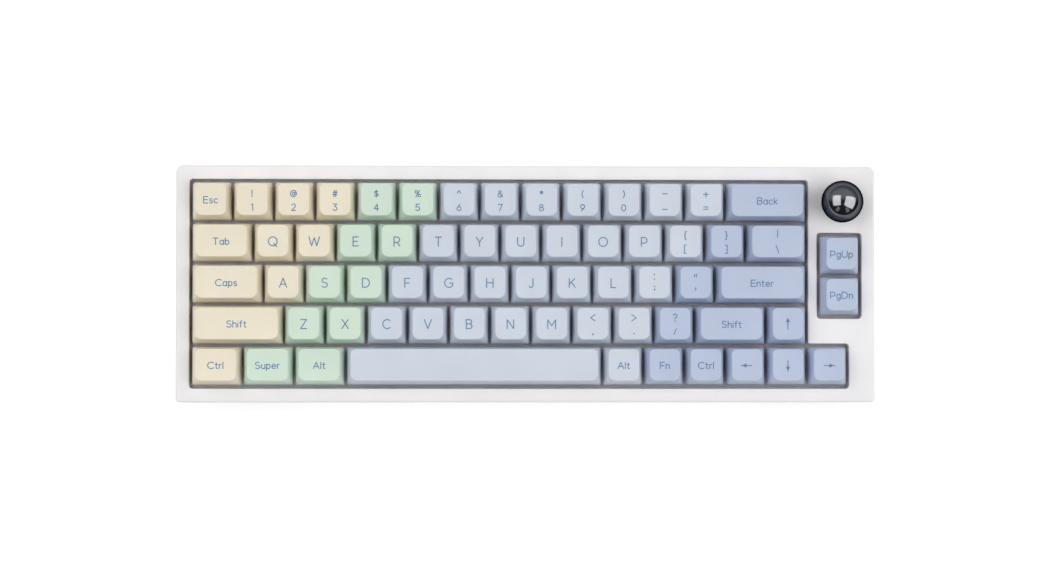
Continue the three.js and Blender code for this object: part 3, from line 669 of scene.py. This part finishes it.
def cap_mesh(width, depth, row, barrel=False):
    """A hollow cap: a lofted skirt, a rounded edge, the dished top, the inside and the stem."""
    height, tilt = ROWS[row]
    bm = bmesh.new()
    surface = cap_surface(width, height, tilt, barrel)
    rings = []
    reach = 1 - EDGE / height
    for t in WALL_STEPS:
        lean = LEAN[0] * t if t < 0.5 else LEAN[0] / 2 + LEAN[1] * (t - 0.5)
        corners = [CORNER["skirt"] + (CORNER[end] - CORNER["skirt"]) * t for end in ("top", "rear")]
        outline = cap_outline(width, depth, lean, corners, 0.0 if t else SKIRT_EDGE)
        rings.append(ring(bm, outline, lambda x, y, t=t: SKIRT + (surface(x, y) - SKIRT) * min(t, reach)))
    for inset, drop in fillet(EDGE, 5):
        corners = [CORNER[end] - inset * CORNER_LOSS for end in ("top", "rear")]
        outline = cap_outline(width, depth, 1.0, corners, inset)
        rings.append(ring(bm, outline, lambda x, y, d=drop: surface(x, y) - d))
    top = cap_outline(width, depth, 1.0, corners, EDGE)
    spine = max(width - depth, 0) / 2
    for share in TOP_STEPS:
        rings.append(ring(bm, [shrink(p, share, spine) for p in top], surface))
    first, last = stack(bm, rings)
    bm.faces.new(last)
    inside(bm, first, width, depth, surface)
    stem(bm, surface)
    return bm, surface


def shrink(p, share, spine):
    """Draws a point in towards the line along a cap's middle."""
    x = max(-spine, min(p.x, spine))
    return Vector((x + (p.x - x) * share, p.y * share))


def inside(bm, first, width, depth, surface):
    """The underside: the skirt's lower edge, the inner walls and the ceiling."""
    corners = (INSIDE["corner"], INSIDE["corner"])
    low = ring(bm, cap_outline(width, depth, 0.0, corners, CAP_WALL), SKIRT)
    outline = cap_outline(width, depth, INSIDE["lean"], corners, CAP_WALL)
    high = ring(bm, outline, lambda x, y: surface(0, y) - CAP_ROOF)
    band(bm, first, low)
    band(bm, low, high)
    bm.faces.new(high)


def stem(bm, surface):
    """The square post under the cap that runs in the switch."""
    half = STEM / 2
    post = rounded(rectangle(-half, -half, half, half), STEM_CORNER, 3)
    close(bm, [ring(bm, post, STEM_BOTTOM), ring(bm, post, surface(0, 0) - CAP_ROOF / 2)])


HOMING_KEYS = "fj"
HOMING = {"half": 1.7, "y": -5.0, "layers": ((0.25, 0.7), (0.12, 0.85))}  # each layer's rise and width


def homing_bar(bm, surface):
    """The small raised bar that the first fingers find."""
    bar = [Vector((-HOMING["half"], HOMING["y"])), Vector((HOMING["half"], HOMING["y"]))]
    for rise, width in HOMING["layers"]:
        draw(bm, [bar], lambda x, y: surface(x, y) + rise, width)


def legend(key, label, surface):
    """The strokes of a key's legend: a letter, a word, or two signs one above the other."""
    pen = PEN
    if key in ARROWS:
        strokes = arrow_strokes(*ARROWS[key], 0, LETTER["y"])
    elif len(label) == 1 and label.isalpha():
        strokes = text_strokes(label, LETTER["height"], 0, LETTER["y"])
        pen = LETTER["pen"]
    elif len(label) == 2:
        pair = zip(label, (SIGN["upper"], SIGN["lower"]))
        strokes = [stroke for sign, y in pair for stroke in text_strokes(sign, SIGN["height"], 0, y)]
    else:
        strokes = text_strokes(label.strip(), WORD["height"], 0, WORD["y"], WORD["stretch"])
    bm = bmesh.new()
    draw(bm, strokes, surface, pen)
    return bm


# Each key: its name, its width in units, its colour and its legend. Two signs stand one above the other. A ~
# stands for a space, which keeps a two-letter word on one line.
LAYOUT = [
    "esc:1:cream:Esc 1:1:cream:!1 2:1:cream:@2 3:1:cream:#3 4:1:mint:$4 5:1:mint:%5 6:1:pale:^6 7:1:pale:&7 "
    "8:1:pale:*8 9:1:pale:(9 0:1:pale:)0 minus:1:pale:-_ equals:1:pale:+= back:2:blue:Back",
    "tab:1.5:cream:Tab q:1:cream:Q w:1:cream:W e:1:mint:E r:1:mint:R t:1:pale:T y:1:pale:Y u:1:pale:U "
    "i:1:pale:I o:1:pale:O p:1:pale:P left_bracket:1:pale:{[ right_bracket:1:blue:}] backslash:1.5:blue:|\\",
    "caps:1.75:cream:Caps a:1:cream:A s:1:mint:S d:1:mint:D f:1:pale:F g:1:pale:G h:1:pale:H j:1:pale:J "
    "k:1:pale:K l:1:pale:L semicolon:1:pale::; quote:1:blue:\"' enter:2.25:blue:Enter",
    "shift_left:2.25:cream:Shift z:1:mint:Z x:1:mint:X c:1:pale:C v:1:pale:V b:1:pale:B n:1:pale:N "
    "m:1:pale:M comma:1:pale:<, period:1:pale:>. slash:1:blue:?/ shift_right:1.75:blue:Shift "
    "arrow_up:1:blue:",
    "ctrl_left:1.25:cream:Ctrl super:1.25:mint:Super alt_left:1.25:mint:Alt space:6.25:pale: "
    "alt_right:1:pale:Alt fn:1:blue:~Fn ctrl_right:1:blue:Ctrl arrow_left:1:blue: arrow_down:1:blue: "
    "arrow_right:1:blue:",
]
GROUPS = {
    "keys_number_row": "1 2 3 4 5 6 7 8 9 0 minus equals",
    "keys_brackets": "left_bracket right_bracket backslash",
    "keys_semicolon_quote": "semicolon quote",
    "keys_comma_to_slash": "comma period slash",
    "keys_left_modifiers": "ctrl_left super alt_left",
    "keys_right_modifiers": "alt_right fn ctrl_right",
    "keys_page": "page_up page_down",
}
node_of = {key: node for node, members in GROUPS.items() for key in members.split()}


def all_keys():
    """Every key, with its place in the deck frame."""
    for row, line in enumerate(LAYOUT):
        x = grid_left
        y = grid_rear - (row + 0.5) * PITCH
        for word in line.split(" "):
            key, units, colour, label = word.split(":", 3)
            width = float(units) * PITCH
            yield key, width, row, colour, label.replace("~", " "), x + width / 2, y
            x += width
    yield "page_up", PITCH, 1, "blue", "PgUp", column_x, page_split + PITCH / 2
    yield "page_down", PITCH, 2, "blue", "PgDn", column_x, page_split - PITCH / 2


def keycaps():
    """Every cap with its legend, riding on its own key or on its group."""
    for key, width, row, colour, label, x, y in all_keys():
        node = node_of.get(key, f"key_{key}")
        place = DECK @ Matrix.Translation((x * MM, y * MM, 0))
        bm, surface = cap_mesh(width - CAP_GAP[0], PITCH - CAP_GAP[1], row, barrel=key == "space")
        if key in HOMING_KEYS:
            homing_bar(bm, surface)
        cap = new_object(f"cap_{key}", bm, CAP_MATERIALS[colour], 35, place)
        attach(cap, node)
        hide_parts(node)
        if not label and key not in ARROWS:
            continue
        marks = new_object(f"legend_{key}", legend(key, label, surface), INK_MATERIAL, 30, place)
        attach(marks, node)


# -------- case
def case_outline(inset):
    front = max(FRONT_RADIUS - inset, LEAST_RADIUS)
    rear = max(REAR_RADIUS - inset, LEAST_RADIUS)
    x, y = half_width - inset - SKIN, half_depth - inset - SKIN
    return rounded(rectangle(-x, -y, x, y), [front, front, rear, rear], 10)


def opening_outlines(margin):
    """The main L-shaped opening and the page keys' opening, moved outwards by a margin."""
    m = OPENING_MARGIN + margin
    left = grid_left - m
    right, far = [grid_left + units * PITCH + m for units in MAIN_UNITS]
    step = grid_rear - (len(ROWS) - 1) * PITCH + m
    reach = grid_rear + m
    main = [(left, -reach), (far, -reach), (far, step), (right, step), (right, reach), (left, reach)]
    half = PITCH / 2 + m
    page = rectangle(column_x - half, page_split - PITCH - m, column_x + half, page_split + PITCH + m)
    outer = OPENING_RADIUS + margin
    inner = max(INNER_RADIUS - margin, LEAST_INNER)
    return [rounded(main, [outer, outer, outer, inner, outer, outer], 6), rounded(page, outer, 6)]


def seam_edge(bm, z, turn):
    """The two loops of the small chamfer where a shell meets the seam."""
    return [ring(bm, case_outline(SEAM_EDGE), z), ring(bm, case_outline(0.0), z + turn * SEAM_EDGE)]


def upper_case():
    """The top shell: its outer wall, the collar of each opening and the knob's hole."""
    bm = bmesh.new()
    under = RIM - SLAB
    outer = [ring(bm, case_outline(CASE_WALL), under), ring(bm, case_outline(CASE_WALL), SEAM)]
    outer += seam_edge(bm, SEAM, 1)
    outer += [ring(bm, case_outline(i), RIM - d) for i, d in fillet(CASE_EDGE, 6)]
    ends = [stack(bm, outer)]
    thickness, low = COLLAR
    profile = [(thickness, under), (thickness, low), (0.0, low)]
    profile += [(i, RIM - d) for i, d in fillet(OPENING_EDGE, 4)]
    loops = [opening_outlines(m) for m, _ in profile]
    for k in (0, 1):
        ends.append(stack(bm, [ring(bm, loop[k], z) for loop, (_, z) in zip(loops, profile)]))
    radius, edge = SHAFT_HOLE
    hole = [(radius, under)] + [(radius + i, RIM - d) for i, d in fillet(edge, 3)]
    ends.append(stack(bm, [ring(bm, circle(column_x, knob_y, r), z) for r, z in hole]))
    fill(bm, [first for first, _ in ends])
    fill(bm, [last for _, last in ends])
    obj = new_object("upper_case_shell", bm, CASE_MATERIAL, 50)
    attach(obj, "case")
    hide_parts("upper_case")


def level_plane(z):
    """The deck heights of a plane that lies level, at z above the desk."""
    return lambda x, y: desk_height(x, y, z)


def lower_case():
    """The tray: filleted underneath, and cut for the feet, the screws and the socket."""
    bm = bmesh.new()
    top = SEAM - SEAM_GAP
    floor = level_plane(CASE_BOTTOM + CASE_FLOOR)
    rings = [ring(bm, case_outline(CASE_WALL), floor), ring(bm, case_outline(CASE_WALL), top)]
    rings += seam_edge(bm, top, -1)
    for inset, drop in fillet(CASE_EDGE, 6):
        rings.append(ring(bm, case_outline(inset), level_plane(CASE_BOTTOM + drop)))
    close(bm, rings)
    obj = new_object("lower_case_shell", bm, CASE_MATERIAL, 50)
    cut(obj, pocket_blocks(), "UNION")
    cut(obj, lower_cutters())
    obj.data.shade_smooth()
    obj.data.set_sharp_from_angle(angle=math.radians(35))
    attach(obj, "case")
    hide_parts("lower_case")


def block(name, outline, bottom, top, place=Matrix()):
    """A straight prism between two heights."""
    bm = bmesh.new()
    close(bm, [ring(bm, outline, bottom), ring(bm, outline, top)])
    return new_object(name, bm, CASE_MATERIAL, 40, place)


def node_rectangle(node, grow):
    """A node's footprint on the desk, in millimetres."""
    low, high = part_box(node)
    return rectangle(low[0] / MM - grow, low[1] / MM - grow, high[0] / MM + grow, high[1] / MM + grow)


POCKET = {"wall": 2.2, "roof": 1.6, "top": 6.6, "gap": 0.6, "sunk": 0.3, "corner": 0.4, "outer_corner": 1.0}
PAD = {"gap": 0.3, "corner_gap": 0.25, "recess": 0.9, "edge": 0.5, "slack": 0.05}
MOUTH = {"gap": 0.5, "corner": 1.7, "past": 2.0, "depth": 2 * CASE_WALL + 3}
FLIP = {"edge": 0.35, "toe": 0.6, "heel": 1.0, "tip": 0.1, "middle": 0.2}
PIN = {"length": 1.6, "radius": 1.1, "root": 1.0}  # the pins at a flip foot's ends
SCREW = {"head": 2.1, "depth": 1.6, "edge": 3.2, "y": 30.0, "x": (-65.0, 75.0)}
SCREW_HEAD = {"gap": 0.25, "shank": 0.9, "sunk": 3.0, "rise": 0.6, "crown": 0.4}
SLOT = {"length": 2.0, "width": 0.45, "depth": 0.35, "past": 2.0}  # each arm of the cross in a screw's head
CUT_PAST = 12.0  # how far a screw's seat is cut out below the case
PADS = [f"rubber_foot_{end}_{side}" for end in ("front", "rear") for side in ("left", "right")]
FLIPS = ["flip_foot_left", "flip_foot_right"]


def flip_rectangle(node, grow):
    """The pocket round a folded foot, less the pins at its ends."""
    (x0, y0), _, (x1, y1), _ = node_rectangle(node, 0)
    pins = PIN["length"]
    gap = POCKET["gap"] + grow
    return rectangle(x0 + pins - gap, y0 - gap, x1 - pins + gap, y1 + gap)


def pocket_blocks():
    """The solid walls and roof round each flip foot's pocket."""
    blocks = []
    for node in FLIPS:
        outline = rounded(flip_rectangle(node, POCKET["wall"]), POCKET["outer_corner"], 3)
        blocks.append(block("housing", outline, CASE_BOTTOM + POCKET["sunk"], POCKET["top"] + POCKET["roof"]))
    return blocks


def screw_places():
    """Two screws along each side of the case, and two along its front and its rear."""
    side, end = half_width - SCREW["edge"], half_depth - SCREW["edge"]
    along_sides = [(x, y) for x in (-side, side) for y in (-SCREW["y"], SCREW["y"])]
    return along_sides + [(x, y) for x in SCREW["x"] for y in (-end, end)]


def lower_cutters():
    """What the tray loses: pockets, recesses for the pads, the screws' seats and the socket's mouth."""
    pockets = [rounded(flip_rectangle(node, 0), POCKET["corner"], 3) for node in FLIPS]
    cutters = [block("pocket", outline, 0, POCKET["top"]) for outline in pockets]
    for node in PADS:
        low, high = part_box(node)
        corner = (high[1] - low[1]) / 2 / MM + PAD["corner_gap"]
        outline = rounded(node_rectangle(node, PAD["gap"]), corner, 10)
        cutters.append(block("recess", outline, 0, CASE_BOTTOM + PAD["recess"]))
    for x, y in screw_places():
        seat = desk_height(x, y, CASE_BOTTOM + SCREW["depth"])
        cutters.append(block("head", circle(x, y, SCREW["head"], 32), seat - CUT_PAST, seat, DECK))
    low, high = turned_box("usb_c_socket")
    gap = MOUTH["gap"]
    x, half = (low.x + high.x) / 2 / MM, (high.x - low.x) / 2 / MM + gap
    z0, z1 = [(DESK @ TURN @ v).z / MM for v in (low, high)]
    mouth = rounded(rectangle(x - half, z0 - gap, x + half, z1 + gap), MOUTH["corner"], 8)
    rear = Matrix.Translation((0, (half_depth + MOUTH["past"]) * MM, 0))
    stand = DECK @ rear @ Matrix.Rotation(math.pi / 2, 4, "X")
    cutters.append(block("mouth", mouth, 0, MOUTH["depth"], stand))
    return cutters


def screws():
    """The screws' heads, each with a cross cut in it."""
    for number, (x, y) in enumerate(screw_places(), 1):
        seat = desk_height(x, y, CASE_BOTTOM + SCREW["depth"])
        head = bmesh.new()
        radius, shank = SCREW["head"] - SCREW_HEAD["gap"], SCREW_HEAD["shank"]
        rise, crown = SCREW_HEAD["rise"], SCREW_HEAD["crown"]
        profile = [(shank, seat + SCREW_HEAD["sunk"]), (shank, seat), (radius, seat), (radius, seat - rise)]
        profile += [(radius - i, seat - (rise + crown) + d) for i, d in fillet(crown, 3)]
        close(head, [ring(head, circle(x, y, r, 32), z) for r, z in profile])
        obj = new_object(f"case_screw_{number}", head, STEEL_MATERIAL, 40)
        arms = []
        for w, d in ((SLOT["length"], SLOT["width"]), (SLOT["width"], SLOT["length"])):
            arm = rectangle(x - w / 2, y - d / 2, x + w / 2, y + d / 2)
            arm = [Vector(p) for p in arm]
            arms.append(block("arm", arm, seat - SLOT["past"], seat - SLOT["depth"], DECK))
        cut(obj, arms)
        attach(obj, "case")


# -------- knob, feet and socket
KNOB = {"radius": 9.75, "flat": 9.0, "lift": 1.2, "well": 3.3, "bore": 21.0}  # flat: below the ball's centre
BALL_STEPS = 40


def knob():
    """The ball: a flat underside, and a blind bore for the shaft."""
    bm = bmesh.new()
    radius, flat = KNOB["radius"], KNOB["flat"]
    centre = RIM + KNOB["lift"] + flat
    last = math.acos(flat / radius)
    angles = [math.pi - last - i / BALL_STEPS * (math.pi - last) for i in range(BALL_STEPS)]
    profile = [(KNOB["well"], KNOB["bore"]), (KNOB["well"], centre - flat)]
    profile += [(radius * math.sin(a), centre + radius * math.cos(a)) for a in angles]
    first, top = stack(bm, [ring(bm, circle(column_x, knob_y, r, 96), z) for r, z in profile])
    bm.faces.new(first)
    pole = bm.verts.new((column_x, knob_y, centre + radius))
    for i, v in enumerate(top):
        bm.faces.new((v, top[(i + 1) % len(top)], pole))
    obj = new_object("ball_knob", bm, KNOB_MATERIAL, 40)
    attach(obj, "knob")
    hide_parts("knob")


def rubber_feet():
    """The four pads: long, with round ends and a softened lower edge."""
    for node in PADS:
        low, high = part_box(node)
        bm = bmesh.new()
        half = (high[1] - low[1]) / 2 / MM
        loops = [(0, high[2] / MM)] + fillet(PAD["edge"], 4)
        rings = []
        for inset, z in loops:
            outline = rounded(node_rectangle(node, -inset), half - inset - PAD["slack"], 12)
            rings.append(ring(bm, outline, z))
        close(bm, rings)
        obj = new_object(f"{node}_pad", bm, RUBBER_MATERIAL, 40, Matrix())
        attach(obj, "case")
        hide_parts(node)


def flip_feet():
    """Each foot: a leg with a round hinge end, edges softened, a gripping toe and two pins."""
    for node in FLIPS:
        joint = joints["left_foot_fold" if node.endswith("left") else "right_foot_fold"]
        centre = Vector(joint["pos_m"])
        low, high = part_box(node)
        barrel = (high[2] - centre.z) / MM
        reach = (centre.y - low[1]) / MM
        half = (high[0] - low[0]) / 2 / MM - PIN["length"]
        turns = [-math.pi / 2 + k / 16 * math.pi for k in range(17)]
        side = [Vector((barrel * math.cos(t), barrel * math.sin(t))) for t in turns]
        edge, toe = FLIP["edge"], FLIP["toe"]
        side += [Vector((FLIP["heel"] - reach, barrel - toe)), Vector((-reach, FLIP["tip"]))]
        side += [Vector((-reach, toe - barrel)), Vector((toe - reach, -barrel))]
        bm = bmesh.new()
        sections = []
        for x, inset in ((-half, edge), (edge - half, 0.0), (half - edge, 0.0), (half, edge)):
            keep = 1 - inset / barrel
            points = [(x, p.x + (FLIP["middle"] - p.x) * inset / reach, p.y * keep) for p in side]
            sections.append([bm.verts.new(p) for p in points])
        close(bm, sections)
        round_pin = circle(0, 0, PIN["radius"], 24)
        for way in (-1, 1):
            ends = [way * (half - PIN["root"]), way * (half + PIN["length"])]
            close(bm, [[bm.verts.new((x, p.y, p.x)) for p in round_pin] for x in ends])
        obj = new_object(f"{node}_leg", bm, CASE_MATERIAL, 40, Matrix.Translation(centre))
        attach(obj, node)
        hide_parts(node)


SHELL = {"sheet": 0.35, "well": 0.9, "edge": 0.08, "corner": 1.55}  # the socket's rolled shell
TONGUE = {"half": (3.3, 0.35), "corner": 0.25, "root": 0.45, "back": 1.6}  # back: how deep its end lies


def socket():
    """The USB-C socket: a thin rolled shell with its tongue."""
    low, high = turned_box("usb_c_socket")
    centre = (low + high) / 2
    length = (high.y - low.y) / MM
    w, h = (high.x - low.x) / 2 / MM, (high.z - low.z) / 2 / MM
    bm = bmesh.new()
    sheet, edge = SHELL["sheet"], SHELL["edge"]
    profile = [(sheet, SHELL["well"]), (sheet, length - edge), (sheet - edge, length)]
    profile += [(edge, length), (0.0, length - edge), (0.0, 0.0)]
    loops = [rounded(rectangle(i - w, i - h, w - i, h - i), SHELL["corner"] - i, 8) for i, _ in profile]
    close(bm, [ring(bm, loop, z) for loop, (_, z) in zip(loops, profile)])
    base = Vector((centre.x, low.y, centre.z))
    place = TURN @ Matrix.Translation(base) @ Matrix.Rotation(-math.pi / 2, 4, "X")
    shell = new_object("usb_socket_shell", bm, STEEL_MATERIAL, 40, place)
    x, y = TONGUE["half"]
    outline = rounded(rectangle(-x, -y, x, y), TONGUE["corner"], 4)
    tongue = block("usb_socket_tongue", outline, TONGUE["root"], length - TONGUE["back"], place)
    tongue.data.materials[0] = BLACK_MATERIAL
    for obj in (shell, tongue):
        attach(obj, "case")
        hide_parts("usb_c_socket")


CAD_LOOKS = {
    "switch_plate": PLATE_MATERIAL,
    "circuit_board": BOARD_MATERIAL,
    "encoder_body": STEEL_MATERIAL,
    "encoder_rotor": BLACK_MATERIAL,
    "encoder_shaft": STEEL_MATERIAL,
}


def carried_over():
    """The CAD meshes that are shown as they are, with their own materials."""
    for node, material in CAD_LOOKS.items():
        obj = frame["nodes"][node]
        if not obj.material_slots:
            obj.data.materials.append(material)
        for slot in obj.material_slots:
            slot.material = material


# -------- camera, light and floor
VIEW = {"distance": 1200.0, "tilt": 1.4, "pan": 1.8, "width": 489.9, "aim": (0.15, -1.38), "roll": 0.07}
SENSOR = 36.0
ROOM = {"front": 0.04, "rear": 0.42, "horizon": 0.6}  # how bright it is
ROOM_SPAN = (-0.15, 0.35)  # from front to rear, along the direction's y
HORIZON_SPAN = (0.0, 0.06)  # from the horizon upwards, along the direction's z
# The lights, in metres and watts: each one's place, its size and its power.
LIGHTS = {
    "softbox_left": ((-0.83, 0.01, 1.19), (1.52, 1.23), 12.3),
    "softbox_right": ((0.91, -0.2, 1.09), (1.41, 1.5), 14.2),
    "fill_left": ((-0.75, -1.35, 0.95), (0.5, 0.9), 0.6),
    "fill_right": ((0.75, -1.35, 0.95), (0.5, 0.9), 0.6),
}
LIGHT_AIM = Vector((0, 0, 0.02))
FLOOR = {"half": 6000.0, "gap": 0.1, "grey": 0.55, "glow": 0.55}  # gap: keeps it off the feet's own plane


def camera():
    """Looks nearly straight down on the deck, from a little to the front and the left."""
    data = bpy.data.cameras.new("camera")
    data.sensor_width = SENSOR
    data.lens = data.sensor_width * VIEW["distance"] / VIEW["width"]
    data.clip_end = 20.0
    obj = bpy.data.objects.new("camera", data)
    tilt = Matrix.Rotation(math.radians(VIEW["tilt"]), 4, "X")
    pan = Matrix.Rotation(math.radians(-VIEW["pan"]), 4, "Y")
    roll = Matrix.Rotation(math.radians(VIEW["roll"]), 4, "Z")
    x, y = VIEW["aim"]
    aim = DECK @ Matrix.Translation((x * MM, y * MM, RIM * MM))
    obj.matrix_world = aim @ tilt @ pan @ Matrix.Translation((0, 0, VIEW["distance"] * MM)) @ roll
    bpy.context.scene.collection.objects.link(obj)
    bpy.context.scene.camera = obj


def area(name, place, size, power):
    data = bpy.data.lights.new(name, "AREA")
    data.shape = "RECTANGLE"
    data.size, data.size_y = size
    data.energy = power
    obj = bpy.data.objects.new(name, data)
    obj.location = place
    aim = LIGHT_AIM - Vector(place)
    obj.rotation_euler = aim.to_track_quat("-Z", "Y").to_euler()
    bpy.context.scene.collection.objects.link(obj)


def studio():
    """The room round the softboxes: dim in front, grey behind, and pale along the horizon."""
    world = bpy.data.worlds.new("studio")
    world.use_nodes = True
    tree = world.node_tree
    place = tree.nodes.new("ShaderNodeTexCoord")
    axes = tree.nodes.new("ShaderNodeSeparateXYZ")
    tree.links.new(place.outputs["Generated"], axes.inputs["Vector"])
    room = carry(tree, axes.outputs["Y"], ROOM_SPAN, (ROOM["front"], ROOM["rear"]), "SMOOTHSTEP")
    horizon = carry(tree, axes.outputs["Z"], HORIZON_SPAN, (ROOM["horizon"], 0.0), "SMOOTHSTEP")
    lighter = tree.nodes.new("ShaderNodeMath")
    lighter.operation = "MAXIMUM"
    tree.links.new(room, lighter.inputs[0])
    tree.links.new(horizon, lighter.inputs[1])
    tree.links.new(lighter.outputs["Value"], tree.nodes["Background"].inputs["Strength"])
    tree.nodes["Background"].inputs["Color"].default_value = (1, 1, 1, 1)
    bpy.context.scene.world = world


def lights():
    for name, (place, size, power) in LIGHTS.items():
        area(name, place, size, power)
    studio()
    bpy.context.scene.view_settings.view_transform = "Standard"


def floor():
    """A plain pale desk that glows faintly, so that it is evenly white."""
    bm = bmesh.new()
    bmesh.ops.create_grid(bm, x_segments=1, y_segments=1, size=FLOOR["half"])
    material, _, shader = principled("pale_floor", (FLOOR["grey"],) * 3, 0.8)
    shader.inputs["Emission Color"].default_value = (1, 1, 1, 1)
    shader.inputs["Emission Strength"].default_value = FLOOR["glow"]
    new_object("floor", bm, material, 40, Matrix.Translation((0, 0, -FLOOR["gap"] * MM)))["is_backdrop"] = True


camera()
carried_over()
upper_case()
lower_case()
screws()
keycaps()
knob()
rubber_feet()
flip_feet()
socket()
floor()
lights()

shown_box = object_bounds()
sizes = {name: [list(corner) for corner in box] for name, box in (("cad", cad_box), ("visual", shown_box))}
